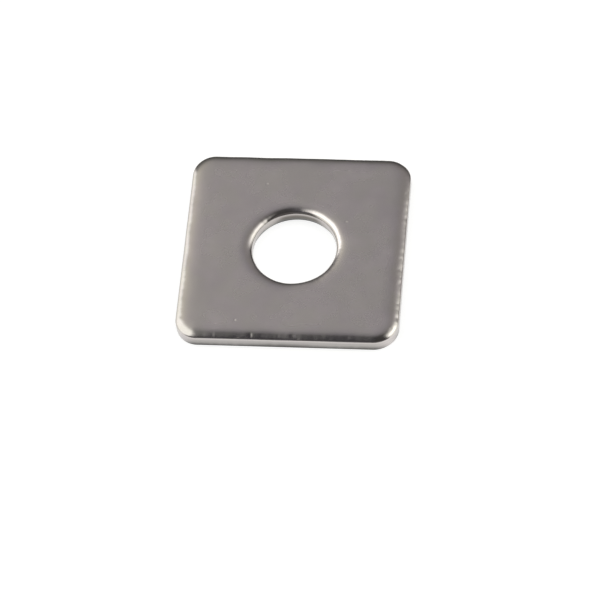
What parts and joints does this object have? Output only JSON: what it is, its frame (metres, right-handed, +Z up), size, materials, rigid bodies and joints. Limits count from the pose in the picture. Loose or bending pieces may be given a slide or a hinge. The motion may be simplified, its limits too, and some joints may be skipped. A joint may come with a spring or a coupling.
{
  "type": "square plate washer",
  "caption": "Flat square washer with rounded corners and a round bolt hole, punched from stainless sheet, that spreads the load of a bolt head or nut.",
  "frame": {"origin": "on the axis of the bolt hole, in the plane of the lower face that the washer lies on", "axes": "+Z up along the hole's axis, towards the face with the rounded die roll; X and Y along the sides of the square"},
  "size_m": [0.029, 0.029, 0.0021],
  "materials": {
    "stainless_steel": "tumbled after punching, satin sheen"
  },
  "bodies": {
    "root": {"washer": "stainless_steel"}
  },
  "joints": []
}
